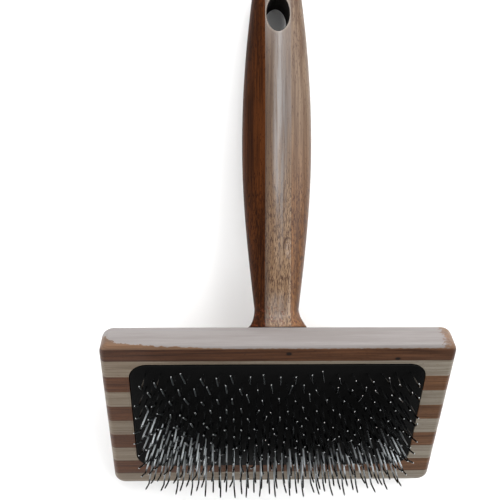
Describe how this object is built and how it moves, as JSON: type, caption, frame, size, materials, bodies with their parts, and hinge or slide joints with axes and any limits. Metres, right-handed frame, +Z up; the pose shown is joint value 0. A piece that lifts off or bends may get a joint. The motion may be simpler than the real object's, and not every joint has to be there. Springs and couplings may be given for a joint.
{
  "type": "slicker brush",
  "caption": "Wooden slicker brush: a striped rectangular head with a crowned rubber cushion of bent wire pins, on an angled swelling handle with an oval hanging hole.",
  "frame": {"origin": "centre of the box's base, as the brush lies on a table on the far edge of its head's back and the end of its handle", "axes": "+Z up, +Y from the head along the handle to its end, +X across the brush"},
  "size_m": [0.115, 0.1824, 0.0479],
  "materials": {
    "dark_bamboo": "varnished",
    "pale_bamboo": "varnished",
    "pin_rubber": "matte",
    "sponge": "matte",
    "screw_steel": "satin"
  },
  "bodies": {
    "brush_body": {"head_strip_01": "dark_bamboo", "head_strip_02": "pale_bamboo", "head_strip_03": "dark_bamboo", "head_strip_04": "pale_bamboo", "head_strip_05": "dark_bamboo", "head_strip_06": "pale_bamboo", "head_strip_07": "dark_bamboo", "head_strip_08": "pale_bamboo", "head_strip_09": "dark_bamboo", "head_strip_10": "pale_bamboo", "handle_left_strip": "dark_bamboo", "handle_centre_strip": "pale_bamboo", "handle_right_strip": "dark_bamboo", "foot_screws": "screw_steel", "cushion_sponge": "sponge"},
    "pin_cushion": {"pin_row_01": "pin_rubber", "pin_row_02": "pin_rubber", "pin_row_03": "pin_rubber", "pin_row_04": "pin_rubber", "pin_row_05": "pin_rubber", "pin_row_06": "pin_rubber", "pin_row_07": "pin_rubber", "pin_row_08": "pin_rubber", "pin_row_09": "pin_rubber", "pin_row_10": "pin_rubber", "pin_row_11": "pin_rubber", "pin_row_12": "pin_rubber", "pin_row_13": "pin_rubber", "pin_row_14": "pin_rubber", "pin_row_15": "pin_rubber", "pin_row_16": "pin_rubber", "pin_row_17": "pin_rubber"}
  },
  "joints": [
    {"name": "cushion_press", "type": "slide", "parent": "brush_body", "child": "pin_cushion", "axis": [0, 0.4478, -0.8941], "range_m": [0, 0.002], "stiffness_N_per_m": 2500, "deforming": ["cushion_sponge"]}
  ]
}
